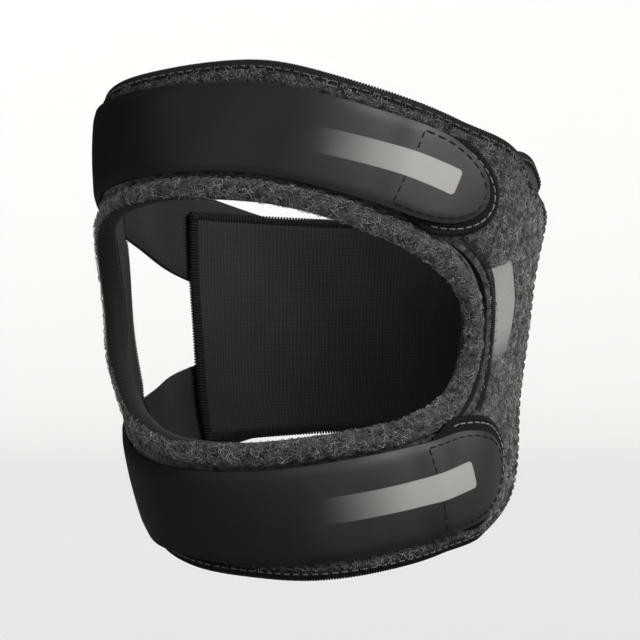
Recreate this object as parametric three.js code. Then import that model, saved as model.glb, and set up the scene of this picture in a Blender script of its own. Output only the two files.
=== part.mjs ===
// Wrap-around knee strap with an open kneecap window. A padded rim frames the kneecap, a loop-faced panel
// holds the rim, a band passes behind the knee, and two straps come forward from the band to close the wrap
// above and below the kneecap with hook tabs.
//
// Every piece is drawn flat, as it is cut from sheet, and wrapped round the leg. "turn" is the angle round
// the leg in degrees, 0 at the kneecap and growing to the right seen from the front. "height" is millimetres
// up the leg and "lift" is millimetres out from the skin. The leg runs along +Z, the kneecap faces -Y, and
// the origin is the middle of the leg, level with the kneecap.

import * as THREE from 'three';

// Driving dimensions, in millimetres
const PANEL_THICKNESS = 3.5;
const BAND_THICKNESS = 2.6;
const STRAP_THICKNESS = 2.4;
const TAB_THICKNESS = 1.6;
const RIM_DIAMETER = 6.5;
const TIP_LENGTH = 19;
const TAB_TAPER = 11;
const TAB_APPROACH = 12;
const TAB_MARGIN = 2;
const CLEARANCE = 0.3;
const RIM_CLEARANCE = 0.5;
const BAND_CLEARANCE = 0.5;
const EDGE_ROUNDING = 0.8;
const LINING_ROUNDING = 0.4;
const STRAP_LINING_ROUNDING = 0.2;

// Finishes: loop-faced neoprene, jersey-faced neoprene, smooth coated neoprene and hook tape
const FINISHES = {
  loop: { color: 0x3b3c3d, roughness: 0.95, metalness: 0 },
  jersey: { color: 0x232426, roughness: 0.85, metalness: 0 },
  coated: { color: 0x1d1e1f, roughness: 0.45, metalness: 0 },
  hook: { color: 0x17181a, roughness: 0.8, metalness: 0 },
};

// The leg's section at six heights: half its width, its reach forward and back, and its middle's shift in X
const LEG_SECTIONS = [
  { height: -90, halfWidth: 39.5, front: 49.5, back: 62.0, middle: 3.5 },
  { height: -50, halfWidth: 47.6, front: 56.4, back: 58.8, middle: 1.6 },
  { height: -20, halfWidth: 51.1, front: 59.3, back: 57.2, middle: -1.9 },
  { height: 10, halfWidth: 55.0, front: 60.0, back: 57.2, middle: -1.9 },
  { height: 45, halfWidth: 59.6, front: 58.5, back: 60.0, middle: -0.3 },
  { height: 90, halfWidth: 60.0, front: 52.0, back: 66.0, middle: 0 },
];
const SECTION_SQUARENESS = 2.5;
const FLAT_RADIUS = 60;

// The kneecap window, clockwise from its left end
const WINDOW = [
  { turn: -62, height: 9 },
  { turn: -56, height: 26 },
  { turn: -32, height: 35.5 },
  { turn: 0, height: 36 },
  { turn: 22, height: 31 },
  { turn: 44.5, height: 20.8 },
  { turn: 60, height: 9 },
  { turn: 65, height: -3 },
  { turn: 60.5, height: -16.5 },
  { turn: 43.5, height: -26 },
  { turn: 18, height: -31.5 },
  { turn: -8, height: -33.5 },
  { turn: -31, height: -29.2 },
  { turn: -48.5, height: -14 },
];
const WINDOW_CENTRE = { turn: 3, height: 1 };

// The panel's cut edge, clockwise from its left end
const PANEL_EDGE = [
  { turn: -80, height: 0 },
  { turn: -78, height: 46 },
  { turn: -62, height: 66 },
  { turn: -30, height: 75 },
  { turn: 2, height: 77 },
  { turn: 32, height: 69.5 },
  { turn: 58, height: 59 },
  { turn: 70, height: 54.2 },
  { turn: 79, height: 50 },
  { turn: 87, height: 43.5 },
  { turn: 98, height: 39.5 },
  { turn: 111, height: 33.5 },
  { turn: 115, height: 0 },
  { turn: 112, height: -33 },
  { turn: 98, height: -51 },
  { turn: 74, height: -60.5 },
  { turn: 42, height: -69 },
  { turn: 12, height: -73.5 },
  { turn: -25, height: -69.8 },
  { turn: -48, height: -61.6 },
  { turn: -66, height: -53.5 },
  { turn: -78, height: -40 },
];

// The band behind the knee, from under the panel's right end round to the sewn ends of the straps
const BAND = [
  { turn: 76, top: 49, bottom: -54 },
  { turn: 87, top: 51.2, bottom: -51 },
  { turn: 100, top: 49.6, bottom: -47.6 },
  { turn: 112, top: 45.5, bottom: -44.4 },
  { turn: 145, top: 35, bottom: -35.5 },
  { turn: 180, top: 31.5, bottom: -31.5 },
  { turn: 236, top: 34, bottom: -34 },
];

// The middle line and the width of each strap, from its sewn end on the band to its rounded tip
const STRAP_COURSES = {
  top: [
    { turn: -152, height: 17.5, width: 26 },
    { turn: -110, height: 33.5, width: 26 },
    { turn: -72, height: 48, width: 26 },
    { turn: -35, height: 56.2, width: 25.6 },
    { turn: 0, height: 57.4, width: 26.2 },
    { turn: 32, height: 49.6, width: 26 },
    { turn: 60.5, height: 36.8, width: 24 },
  ],
  bottom: [
    { turn: -152, height: -17.5, width: 26 },
    { turn: -110, height: -29, width: 25.5 },
    { turn: -72, height: -39.5, width: 25 },
    { turn: -35, height: -51.6, width: 24.8 },
    { turn: 0, height: -55.6, width: 28 },
    { turn: 38, height: -50, width: 27.8 },
    { turn: 76, height: -39.2, width: 25.8 },
  ],
};

// The hook tab under each tip: its length, and how far it shows past the strap's lower edge, upper edge and end
const TABS = {
  top: { length: 20, lower: 2.9, upper: 2.2, end: 6 },
  bottom: { length: 25, lower: 2.2, upper: 3.6, end: 9 },
};

// What lies between the skin and a strap on its way round: the band, the bare leg, then the panel
const BAND_LIFT = BAND_THICKNESS + BAND_CLEARANCE;
const UNDER_STRAP = [
  { turn: -160, lift: BAND_THICKNESS },
  { turn: -121, lift: BAND_THICKNESS },
  { turn: -103, lift: 1.2 },
  { turn: -84, lift: PANEL_THICKNESS },
  { turn: 53, lift: PANEL_THICKNESS },
  { turn: 71, lift: PANEL_THICKNESS + BAND_LIFT },
  { turn: 120, lift: PANEL_THICKNESS + BAND_LIFT },
];
const PANEL_RISE = { from: 55, to: 72 };

// Mesh steps
const RIM_STATIONS = 92;
const RIM_SIDES = 10;
const PANEL_ROWS = [0, 0.06, 0.22, 0.4, 0.58, 0.76, 0.94, 1];
const STRAP_LINES = [-1, -0.88, 0, 0.88, 1];
const STRAP_STEP = 4.6;
const TIP_STEPS = 6;
const TIP_SWEEP = THREE.MathUtils.degToRad(84);
const BAND_STATIONS = 34;
const BAND_ROWS = [0, 0.03, 0.18, 0.34, 0.5, 0.66, 0.82, 0.97, 1];
const OUTLINE_POINTS = 500;
const PROBE = 0.5;

const MM_PER_DEGREE = THREE.MathUtils.degToRad(FLAT_RADIUS);

// Value of one column of a table at a place between its rows, on a smooth curve through them
function columnAt(table, key, place, column) {
  const last = table.length - 1;
  const slope = (i) => {
    const before = table[Math.max(i - 1, 0)];
    const after = table[Math.min(i + 1, last)];
    return (after[column] - before[column]) / (after[key] - before[key]);
  };
  let i = table.findIndex((row) => row[key] > place) - 1;
  if (i === -1) i = 0;
  if (i === -2) i = last - 1;
  const step = table[i + 1][key] - table[i][key];
  const u = THREE.MathUtils.clamp((place - table[i][key]) / step, 0, 1);
  const rise = table[i + 1][column] - table[i][column];
  const ease = u * u * (3 - 2 * u);
  const lead = u * (1 - u) * (1 - u) * slope(i) - u * u * (1 - u) * slope(i + 1);
  return table[i][column] + ease * rise + lead * step;
}

// Value of one column with a level stretch at each row, for steps from one layer to the next
function stepAt(table, key, place, column) {
  const next = table.findIndex((row) => row[key] > place);
  if (next === 0) return table[0][column];
  if (next === -1) return table[table.length - 1][column];
  const [a, b] = [table[next - 1], table[next]];
  return THREE.MathUtils.lerp(a[column], b[column], THREE.MathUtils.smoothstep(place, a[key], b[key]));
}

// Point on the skin
function skin(turn, height) {
  const angle = THREE.MathUtils.degToRad(turn);
  const [side, ahead] = [Math.sin(angle), Math.cos(angle)];
  const width = columnAt(LEG_SECTIONS, 'height', height, 'halfWidth');
  const depth = columnAt(LEG_SECTIONS, 'height', height, ahead > 0 ? 'front' : 'back');
  const n = SECTION_SQUARENESS;
  const radius = (Math.abs(side / width) ** n + Math.abs(ahead / depth) ** n) ** (-1 / n);
  const middle = columnAt(LEG_SECTIONS, 'height', height, 'middle');
  return new THREE.Vector3(middle + radius * side, -radius * ahead, height);
}

// Point at a lift from the skin, along the skin's own outward direction
function wrap(turn, height, lift) {
  const along = skin(turn + PROBE, height).sub(skin(turn - PROBE, height));
  const up = skin(turn, height + PROBE).sub(skin(turn, height - PROBE));
  return skin(turn, height).addScaledVector(along.cross(up).normalize(), lift);
}

// Flat sheet coordinates of a turn and height, and back
const flat = ({ turn, height }) => new THREE.Vector2(turn * MM_PER_DEGREE, height);
const wrapFlat = (point, lift) => wrap(point.x / MM_PER_DEGREE, point.y, lift);

// Closed outline on the flat sheet as evenly spaced points
function outline(rows, count) {
  const points = rows.map((row) => new THREE.Vector3(row.turn * MM_PER_DEGREE, row.height, 0));
  const curve = new THREE.CatmullRomCurve3(points, true, 'centripetal');
  return curve.getSpacedPoints(count).slice(0, count).map((p) => new THREE.Vector2(p.x, p.y));
}

// Directions that point out of a clockwise outline
function outward(points) {
  return points.map((_, i) => {
    const before = points[(i + points.length - 1) % points.length];
    const after = points[(i + 1) % points.length];
    const run = after.clone().sub(before).normalize();
    return new THREE.Vector2(-run.y, run.x);
  });
}

// Point where a line from the centre through another point leaves a closed outline
function leaves(points, centre, through) {
  const ray = through.clone().sub(centre);
  for (let i = 0; i < points.length; i += 1) {
    const start = points[i].clone().sub(centre);
    const side = points[(i + 1) % points.length].clone().sub(points[i]);
    const spread = ray.cross(side);
    const share = ray.cross(start) / -spread;
    const reach = start.cross(side) / spread;
    if (share >= 0 && share < 1 && reach > 0) return centre.clone().addScaledVector(ray, reach);
  }
  throw new Error('the outline does not surround its centre');
}

// Closed wall between two sheets of points. Both sheets are grid[station][row], and the outer one faces out.
function wall(outer, inner, looped) {
  const [stations, rows] = [outer.length, outer[0].length];
  const points = [...outer.flat(), ...inner.flat()];
  const at = (sheet, i, j) => sheet * stations * rows + (i % stations) * rows + j;
  const index = [];
  const quad = (a, b, c, d) => index.push(a, b, c, a, c, d);
  const cells = looped ? stations : stations - 1;
  for (let i = 0; i < cells; i += 1) {
    for (let j = 0; j < rows - 1; j += 1) {
      quad(at(0, i, j), at(0, i + 1, j), at(0, i + 1, j + 1), at(0, i, j + 1));
      quad(at(1, i, j), at(1, i, j + 1), at(1, i + 1, j + 1), at(1, i + 1, j));
    }
    const top = rows - 1;
    quad(at(0, i, 0), at(1, i, 0), at(1, i + 1, 0), at(0, i + 1, 0));
    quad(at(0, i, top), at(0, i + 1, top), at(1, i + 1, top), at(1, i, top));
  }
  const end = stations - 1;
  for (let j = 0; !looped && j < rows - 1; j += 1) {
    quad(at(0, 0, j), at(0, 0, j + 1), at(1, 0, j + 1), at(1, 0, j));
    quad(at(0, end, j), at(1, end, j), at(1, end, j + 1), at(0, end, j + 1));
  }
  return solid(points, index);
}

function solid(points, index) {
  const geometry = new THREE.BufferGeometry().setFromPoints(points);
  geometry.setIndex(index);
  geometry.computeVertexNormals();
  return geometry;
}

// How far a sheet's face is taken in at its cut edges, and not between them
const atEdge = (row, rows, rounding) => (row === 0 || row === rows - 1 ? rounding : 0);

// Rise of the panel's right end onto the band
const panelLift = (turn) => BAND_LIFT * THREE.MathUtils.smoothstep(turn, PANEL_RISE.from, PANEL_RISE.to);

// Padded tube round the window
function rimGeometry() {
  const edge = outline(WINDOW, RIM_STATIONS);
  const away = outward(edge);
  const radius = RIM_DIAMETER / 2;
  const points = edge.flatMap((point, i) =>
    Array.from({ length: RIM_SIDES }, (_, k) => {
      const angle = (k / RIM_SIDES) * 2 * Math.PI;
      const place = point.clone().addScaledVector(away[i], radius - radius * Math.cos(angle));
      return wrapFlat(place, radius + radius * Math.sin(angle));
    }),
  );
  const at = (i, k) => (i % RIM_STATIONS) * RIM_SIDES + (k % RIM_SIDES);
  const index = [];
  for (let i = 0; i < RIM_STATIONS; i += 1) {
    for (let k = 0; k < RIM_SIDES; k += 1) {
      index.push(at(i, k), at(i + 1, k), at(i + 1, k + 1), at(i, k), at(i + 1, k + 1), at(i, k + 1));
    }
  }
  return solid(points, index);
}

// Loop-faced sheet that holds the rim and reaches round the right of the knee
function panelGeometry() {
  const centre = flat(WINDOW_CENTRE);
  const edge = outline(WINDOW, RIM_STATIONS);
  const away = outward(edge);
  const cut = outline(PANEL_EDGE, OUTLINE_POINTS);
  const grid = edge.map((point, i) => {
    const hole = point.clone().addScaledVector(away[i], RIM_DIAMETER + RIM_CLEARANCE);
    const rim = leaves(cut, centre, hole);
    return PANEL_ROWS.map((share) => hole.clone().lerp(rim, share));
  });
  const sheet = (lift, rounding) =>
    grid.map((row) =>
      row.map((point, j) => {
        const base = panelLift(point.x / MM_PER_DEGREE);
        return wrapFlat(point, base + lift + atEdge(j, row.length, rounding));
      }),
    );
  return wall(sheet(PANEL_THICKNESS, -EDGE_ROUNDING), sheet(0, LINING_ROUNDING), true);
}

// Band behind the knee
function bandGeometry() {
  const [first, last] = [BAND[0].turn, BAND[BAND.length - 1].turn];
  const sheet = (lift, rounding) =>
    Array.from({ length: BAND_STATIONS + 1 }, (_, i) => {
      const turn = THREE.MathUtils.lerp(first, last, i / BAND_STATIONS);
      const bottom = columnAt(BAND, 'turn', turn, 'bottom');
      const top = columnAt(BAND, 'turn', turn, 'top');
      return BAND_ROWS.map((share, j) => {
        const height = THREE.MathUtils.lerp(bottom, top, share);
        return wrap(turn, height, lift + atEdge(j, BAND_ROWS.length, rounding));
      });
    });
  return wall(sheet(BAND_THICKNESS, -EDGE_ROUNDING), sheet(0, LINING_ROUNDING), false);
}

// Middle line of a strap on the flat sheet, with the width as its third coordinate
function course(rows) {
  const points = rows.map((row) => new THREE.Vector3(row.turn * MM_PER_DEGREE, row.height, row.width));
  return new THREE.CatmullRomCurve3(points, false, 'centripetal');
}

const NO_FLANGE = { lower: 0, upper: 0, end: 0 };

// Stations along a strip that ends in a rounded tip: how far along, and its reach below and above the middle
// line. A strip that starts part way along widens from the strap's own edges to its flanges over the taper.
function stations(line, from, flange) {
  const length = line.getLength();
  const shoulder = length - TIP_LENGTH;
  const place = (along, narrowing) => {
    const half = line.getPointAt(Math.min(along / length, 1)).z / 2;
    const grown = THREE.MathUtils.smoothstep(along - from, 0, TAB_TAPER);
    return {
      along,
      below: -(half + flange.lower * grown) * narrowing,
      above: (half + flange.upper * grown) * narrowing,
    };
  };
  const steps = Math.ceil((shoulder - from) / STRAP_STEP);
  const straight = Array.from({ length: steps }, (_, i) =>
    place(THREE.MathUtils.lerp(from, shoulder, i / steps), 1),
  );
  const tip = Array.from({ length: TIP_STEPS + 1 }, (_, i) => {
    const angle = (i / TIP_STEPS) * TIP_SWEEP;
    return place(shoulder + (TIP_LENGTH + flange.end) * Math.sin(angle), Math.cos(angle));
  });
  return [...straight, ...tip];
}

// Strip wrapped along a strap's middle line
function stripGeometry(line, places, liftAt, thickness) {
  const length = line.getLength();
  const sheet = (raise, rounding) =>
    places.map(({ along, below, above }) => {
      const share = Math.min(along / length, 1);
      const middle = line.getPointAt(share);
      const run = line.getTangentAt(share).setZ(0).normalize();
      const past = Math.max(along - length, 0);
      return STRAP_LINES.map((across, j) => {
        const reach = THREE.MathUtils.mapLinear(across, -1, 1, below, above);
        const point = new THREE.Vector2(
          middle.x + run.x * past - run.y * reach,
          middle.y + run.y * past + run.x * reach,
        );
        const lift = liftAt(point.x / MM_PER_DEGREE, along);
        return wrapFlat(point, lift + raise + atEdge(j, STRAP_LINES.length, rounding));
      });
    });
  return wall(sheet(thickness, -EDGE_ROUNDING), sheet(0, STRAP_LINING_ROUNDING), false);
}

// Lift of the under side of a strap: what lies below it, and its hook tab near the tip
function strapLift(tabStart) {
  return (turn, along) => {
    const below = stepAt(UNDER_STRAP, 'turn', turn, 'lift') + CLEARANCE;
    const onTab = THREE.MathUtils.smoothstep(along, tabStart - TAB_APPROACH, tabStart - TAB_MARGIN);
    return below + onTab * (TAB_THICKNESS + CLEARANCE);
  };
}

const tabLift = (turn) => stepAt(UNDER_STRAP, 'turn', turn, 'lift') + CLEARANCE;

function piece(name, geometry, finish) {
  const mesh = new THREE.Mesh(geometry, new THREE.MeshStandardMaterial(FINISHES[finish]));
  mesh.name = name;
  return mesh;
}

// A strap and the hook tab under its tip
function strapPieces(side) {
  const line = course(STRAP_COURSES[side]);
  const tabStart = line.getLength() - TABS[side].length;
  const strap = stripGeometry(line, stations(line, 0, NO_FLANGE), strapLift(tabStart), STRAP_THICKNESS);
  const tab = stripGeometry(line, stations(line, tabStart, TABS[side]), tabLift, TAB_THICKNESS);
  return [
    piece(`${side}_strap`, strap, 'coated'),
    piece(`${side}_hook_tab`, tab, 'hook'),
  ];
}

const kneeStrap = new THREE.Group();
kneeStrap.add(
  piece('front_panel', panelGeometry(), 'loop'),
  piece('patella_rim', rimGeometry(), 'loop'),
  piece('back_band', bandGeometry(), 'jersey'),
  ...strapPieces('top'),
  ...strapPieces('bottom'),
);

export default kneeStrap;
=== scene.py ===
"""Looks of a wrap-around knee strap with an open kneecap window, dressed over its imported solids.

Every cloth piece is drawn flat, as it is cut from sheet, and wrapped round an upright form. On the form
a place has a turn in degrees, 0 at the front and growing to the right seen from there, a height in
millimetres, and a lift in millimetres out from the form. On the flat sheet x follows the turn and y the
height, in millimetres.
"""

import math
from collections import namedtuple

import bmesh
import bpy
import numpy as np
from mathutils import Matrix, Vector, noise


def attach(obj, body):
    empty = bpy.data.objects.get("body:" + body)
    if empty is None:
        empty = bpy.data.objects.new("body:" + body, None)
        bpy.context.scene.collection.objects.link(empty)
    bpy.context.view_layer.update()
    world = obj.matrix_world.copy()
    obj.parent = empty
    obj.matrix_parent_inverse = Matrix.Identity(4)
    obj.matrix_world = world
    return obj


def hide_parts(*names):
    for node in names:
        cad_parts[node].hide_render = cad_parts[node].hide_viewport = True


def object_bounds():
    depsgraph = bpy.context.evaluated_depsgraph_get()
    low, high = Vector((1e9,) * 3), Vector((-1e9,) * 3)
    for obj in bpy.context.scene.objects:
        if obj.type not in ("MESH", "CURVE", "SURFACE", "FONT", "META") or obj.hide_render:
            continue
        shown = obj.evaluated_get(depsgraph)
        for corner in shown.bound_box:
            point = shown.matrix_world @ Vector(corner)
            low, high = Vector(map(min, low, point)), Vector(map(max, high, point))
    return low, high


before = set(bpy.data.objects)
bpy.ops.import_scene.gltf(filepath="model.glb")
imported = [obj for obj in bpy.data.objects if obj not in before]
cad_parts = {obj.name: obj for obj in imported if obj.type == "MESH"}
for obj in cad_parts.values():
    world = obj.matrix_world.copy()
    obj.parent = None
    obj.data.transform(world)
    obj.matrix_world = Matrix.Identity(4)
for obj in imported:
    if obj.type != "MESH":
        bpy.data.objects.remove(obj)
cad_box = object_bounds()

MM = 0.001
BODY = "root"

# Sizes of the solids, in millimetres
PANEL_THICKNESS = 3.5
BAND_THICKNESS = 2.6
STRAP_THICKNESS = 2.4
TAB_THICKNESS = 1.6
RIM_DIAMETER = 6.5
RIM_RADIUS = RIM_DIAMETER / 2
TIP_LENGTH = 19
TAB_TAPER = 11
TAB_APPROACH = 12
TAB_MARGIN = 2
CLEARANCE = 0.3
RIM_CLEARANCE = 0.5
BAND_CLEARANCE = 0.5
BAND_LIFT = BAND_THICKNESS + BAND_CLEARANCE
FLAT_RADIUS = 60
MM_PER_DEGREE = math.radians(FLAT_RADIUS)
SECTION_SQUARENESS = 2.5

# The form's section at six heights
FormSection = namedtuple("FormSection", "height half_width front back middle")
FORM_SECTIONS = [
    FormSection(-90, 39.5, 49.5, 62.0, 3.5),
    FormSection(-50, 47.6, 56.4, 58.8, 1.6),
    FormSection(-20, 51.1, 59.3, 57.2, -1.9),
    FormSection(10, 55.0, 60.0, 57.2, -1.9),
    FormSection(45, 59.6, 58.5, 60.0, -0.3),
    FormSection(90, 60.0, 52.0, 66.0, 0),
]

# The kneecap window and the panel's cut edge, both clockwise from the left end
Corner = namedtuple("Corner", "turn height")


def corner_table(*rows):
    """Corners from rows of a turn and a height."""
    return [Corner(*row) for row in rows]


WINDOW = corner_table(
    (-62, 9), (-56, 26), (-32, 35.5), (0, 36), (22, 31), (44.5, 20.8),
    (60, 9), (65, -3), (60.5, -16.5), (43.5, -26), (18, -31.5), (-8, -33.5),
    (-31, -29.2), (-48.5, -14),
)
WINDOW_CENTRE = Corner(3, 1)
PANEL_EDGE = corner_table(
    (-80, 0), (-78, 46), (-62, 66), (-30, 75), (2, 77), (32, 69.5),
    (58, 59), (70, 54.2), (79, 50), (87, 43.5), (98, 39.5), (111, 33.5),
    (115, 0), (112, -33), (98, -51), (74, -60.5), (42, -69), (12, -73.5),
    (-25, -69.8), (-48, -61.6), (-66, -53.5), (-78, -40),
)

# The band at the back, from under the panel's right end to the sewn ends of the straps
BandEdge = namedtuple("BandEdge", "turn top bottom")
BAND = [
    BandEdge(76, 49, -54),
    BandEdge(87, 51.2, -51),
    BandEdge(100, 49.6, -47.6),
    BandEdge(112, 45.5, -44.4),
    BandEdge(145, 35, -35.5),
    BandEdge(180, 31.5, -31.5),
    BandEdge(236, 34, -34),
]

# Each strap's middle line and width, from its sewn end to its tip
CoursePoint = namedtuple("CoursePoint", "turn height width")
TOP_COURSE = [
    CoursePoint(-152, 17.5, 26),
    CoursePoint(-110, 33.5, 26),
    CoursePoint(-72, 48, 26),
    CoursePoint(-35, 56.2, 25.6),
    CoursePoint(0, 57.4, 26.2),
    CoursePoint(32, 49.6, 26),
    CoursePoint(60.5, 36.8, 24),
]
BOTTOM_COURSE = [
    CoursePoint(-152, -17.5, 26),
    CoursePoint(-110, -29, 25.5),
    CoursePoint(-72, -39.5, 25),
    CoursePoint(-35, -51.6, 24.8),
    CoursePoint(0, -55.6, 28),
    CoursePoint(38, -50, 27.8),
    CoursePoint(76, -39.2, 25.8),
]

# A tab's length, and how far it shows past its strap's lower edge, upper edge and end
Flange = namedtuple("Flange", "length lower upper end")
NO_FLANGE = Flange(0, 0, 0, 0)
TOP_TAB = Flange(20, 2.9, 2.2, 6)
BOTTOM_TAB = Flange(25, 2.2, 3.6, 9)

# What lies between the form and a strap on its way round
Layer = namedtuple("Layer", "turn lift")
UNDER_STRAP = [
    Layer(-160, BAND_THICKNESS),
    Layer(-121, BAND_THICKNESS),
    Layer(-103, 1.2),
    Layer(-84, PANEL_THICKNESS),
    Layer(53, PANEL_THICKNESS),
    Layer(71, PANEL_THICKNESS + BAND_LIFT),
    Layer(120, PANEL_THICKNESS + BAND_LIFT),
]
PANEL_RISE_FROM = 55
PANEL_RISE_TO = 72

# Softness of the cloth, in millimetres, and the share of its wall that is left at a sewn edge
CRIMP_SHARE = 0.6
CRIMP_WIDTH = 2.6
STRAP_CROWN = 0.3
PUFF_HEIGHT = 0.5
PUFF_PLACE = 3.4
PUFF_WIDTH = 2.4
SEAM_DIP = 0.7
SEAM_WIDTH = 3.2
PUCKER_DEPTH = 0.14
PUCKER_PITCH = 4.6
RIM_TRIM = 0.1

# Slow waves of the cloth: depth in millimetres, and the wave's degrees by turn, by height and at its start
Wave = namedtuple("Wave", "depth by_turn by_height start")
GIVE = [Wave(0.22, 7.5, 5.5, 0), Wave(0.14, 13, -9, 40)]

# The seam round the window: its groove on the right, the fold of cloth in it, the furrow under the satin
# stitches beside it, and the tape that covers it from inside
GROOVE_WIDTH = 3.0
GROOVE_FROM = 42
GROOVE_TO = 57
IN_GROOVE = 0.5
FOLD_RADIUS = 0.9
FOLD_THINNER = 0.3
FOLD_PLACE = 0.25
FOLD_AWAY = 1.15
FOLD_LIFT = 2.5
FOLD_RISE = 0.9
FURROW_PLACE = 2.7
FURROW_WIDTH = 1.2
FURROW_DEPTH = 1.0
TAPE_FROM = 4.6
TAPE_WIDTH = 5.4
TAPE_THICKNESS = 0.6
TAPE_LIFT = TAPE_THICKNESS / 4
TAPE_RISE_FROM = 0.1
TAPE_RISE_TO = 0.7

# Stitches and loop pile, in millimetres
STITCH_PITCH = 3.0
THREAD_RADIUS = 0.23
THREAD_SIDES = 6
OVERLOCK_DEPTH = 2.8
OVERLOCK_PITCH = 0.85
OVERLOCK_RADIUS = 0.36
OVERLOCK_PAST = 0.3
TAB_OVERLOCK_DEPTH = 1.2
TAB_SEAM_INSET = 1.8
TAB_SEAM_SHOWN = 0.5
SATIN_WIDTH = 2.0
SATIN_PITCH = 0.62
SATIN_RADIUS = 0.3
NEEDLE_INSET = 1.7
NEEDLE_RISE = 0.6
TIP_STITCH_INSET = 1.7
TOP_TIP_STITCHED = 24
BOTTOM_TIP_STITCHED = 30
BOX_STITCH_START = 3.5
BOX_STITCH_LENGTH = 19
BOX_STITCH_INSET = 4
PILE_PITCH = 0.82
PILE_MARGIN = 0.8
PILE_SEAM_MARGIN = 2.0
CURL_RADIUS = 0.1
CURL_SIDES = 3
CURL_POINTS = 5
CURL_SINK = 0.12
CURL_LENGTHS = (1.1, 2.1)
CURL_HEIGHTS = (0.35, 0.8)
CURL_SWAY = 0.5
CLUMP_SIZE = 2.4
CLUMP_RISE = 0.5

# How pale the loop yarn is: on average, more where it clumps, and by chance. Pile ends where a printed
# stripe covers this share
SHADE_MEAN = 0.3
SHADE_CLUMP = 0.6
SHADE_SPREAD = 0.17
STRIPE_BARE = 0.5

# Mesh steps
SPAN_STEPS = 40
OUTLINE_POINTS = 720
COURSE_POINTS = 260
PANEL_COLUMNS = 200
PANEL_ROWS = 44
RIM_COLUMNS = 220
RIM_SIDES = 24
FOLD_SIDES = 10
TAPE_ROWS = 6
BAND_COLUMNS = 100
BAND_ROWS = 30
STRAIGHT_COLUMNS = 110
TAB_COLUMNS = 8
TIP_COLUMNS = 18
STRAP_ROWS = 18
TIP_SWEEP = math.radians(87)
PROBE = 0.5
MERGE_DISTANCE = 1e-6
UV_NAME = "cut"
WALL_GROUP = "wall"


# The form and the flat sheet


def column(table, name):
    """One column of a table."""
    return np.array([getattr(row, name) for row in table], float)


def smooth_step(value, low, high):
    """0 below low, 1 above high, and an easy rise between."""
    share = np.clip((value - low) / (high - low), 0, 1)
    return share * share * (3 - 2 * share)


def curve_through(table, key, place, name):
    """Value of one column at places between the rows, on a smooth curve through them."""
    keys = column(table, key)
    values = column(table, name)
    rows = np.arange(len(keys))
    before = np.maximum(rows - 1, 0)
    after = np.minimum(rows + 1, len(keys) - 1)
    slopes = (values[after] - values[before]) / (keys[after] - keys[before])
    i = np.clip(np.searchsorted(keys, place, side="right") - 1, 0, len(keys) - 2)
    step = keys[i + 1] - keys[i]
    u = np.clip((place - keys[i]) / step, 0, 1)
    ease = u * u * (3 - 2 * u)
    lead = u * (1 - u) ** 2 * slopes[i] - u * u * (1 - u) * slopes[i + 1]
    return values[i] + ease * (values[i + 1] - values[i]) + lead * step


def steps_through(table, key, place, name):
    """Value of one column with a level stretch at each row, for steps from one layer to the next."""
    keys = column(table, key)
    values = column(table, name)
    i = np.clip(np.searchsorted(keys, place, side="right") - 1, 0, len(keys) - 2)
    return values[i] + (values[i + 1] - values[i]) * smooth_step(place, keys[i], keys[i + 1])


def on_form(turn, height):
    """Points on the form."""
    angle = np.radians(turn)
    side = np.sin(angle)
    ahead = np.cos(angle)
    width = curve_through(FORM_SECTIONS, "height", height, "half_width")
    front = curve_through(FORM_SECTIONS, "height", height, "front")
    back = curve_through(FORM_SECTIONS, "height", height, "back")
    depth = np.where(ahead > 0, front, back)
    n = SECTION_SQUARENESS
    radius = (np.abs(side / width) ** n + np.abs(ahead / depth) ** n) ** (-1 / n)
    middle = curve_through(FORM_SECTIONS, "height", height, "middle")
    return np.stack([middle + radius * side, -radius * ahead, height], axis=-1)


def unit(vectors):
    """Vectors scaled to length one."""
    return vectors / np.linalg.norm(vectors, axis=-1, keepdims=True)


def give(turn, height):
    """Slow unevenness of soft cloth, the same for every layer at a place."""
    angles = [np.radians(turn * wave.by_turn + height * wave.by_height + wave.start) for wave in GIVE]
    return sum(wave.depth * np.sin(angle) for wave, angle in zip(GIVE, angles))


def wrap(flat, lift):
    """Points in metres at a lift from the form, along the form's own outward direction."""
    turn = flat[..., 0] / MM_PER_DEGREE
    height = flat[..., 1]
    along = on_form(turn + PROBE, height) - on_form(turn - PROBE, height)
    up = on_form(turn, height + PROBE) - on_form(turn, height - PROBE)
    out = unit(np.cross(along, up))
    return (on_form(turn, height) + out * (lift + give(turn, height))[..., None]) * MM


def outward_at(flat, lift):
    """Direction away from the form at wrapped points."""
    return unit(wrap(flat, lift + 1) - wrap(flat, lift))


def flat_points(rows):
    """Corners of a table on the flat sheet."""
    return np.stack([column(rows, "turn") * MM_PER_DEGREE, column(rows, "height")], axis=-1)


def spline(points, closed):
    """Close points on a centripetal curve through the given ones."""
    if closed:
        chain = np.concatenate([points[-1:], points, points[:2]])
    else:
        chain = np.concatenate([[2 * points[0] - points[1]], points, [2 * points[-1] - points[-2]]])
    gaps = np.sqrt(np.linalg.norm(np.diff(chain, axis=0), axis=1))
    u = np.linspace(0, 1, SPAN_STEPS, endpoint=False)[:, None]
    spans = []
    for i in range(len(chain) - 3):
        p0, p1, p2, p3 = chain[i : i + 4]
        d0, d1, d2 = gaps[i : i + 3]
        lead = ((p1 - p0) / d0 - (p2 - p0) / (d0 + d1) + (p2 - p1) / d1) * d1
        trail = ((p2 - p1) / d1 - (p3 - p1) / (d1 + d2) + (p3 - p2) / d2) * d1
        rise = p2 - p1
        bend = 3 * rise - 2 * lead - trail
        twist = lead + trail - 2 * rise
        spans.append(p1 + lead * u + bend * u**2 + twist * u**3)
    end = points[:1] if closed else points[-1:]
    return np.concatenate([*spans, end])


def distances(points):
    """Distance of each point from the first, along the line."""
    steps = np.linalg.norm(np.diff(points, axis=0), axis=1)
    return np.concatenate([[0], np.cumsum(steps)])


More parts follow.
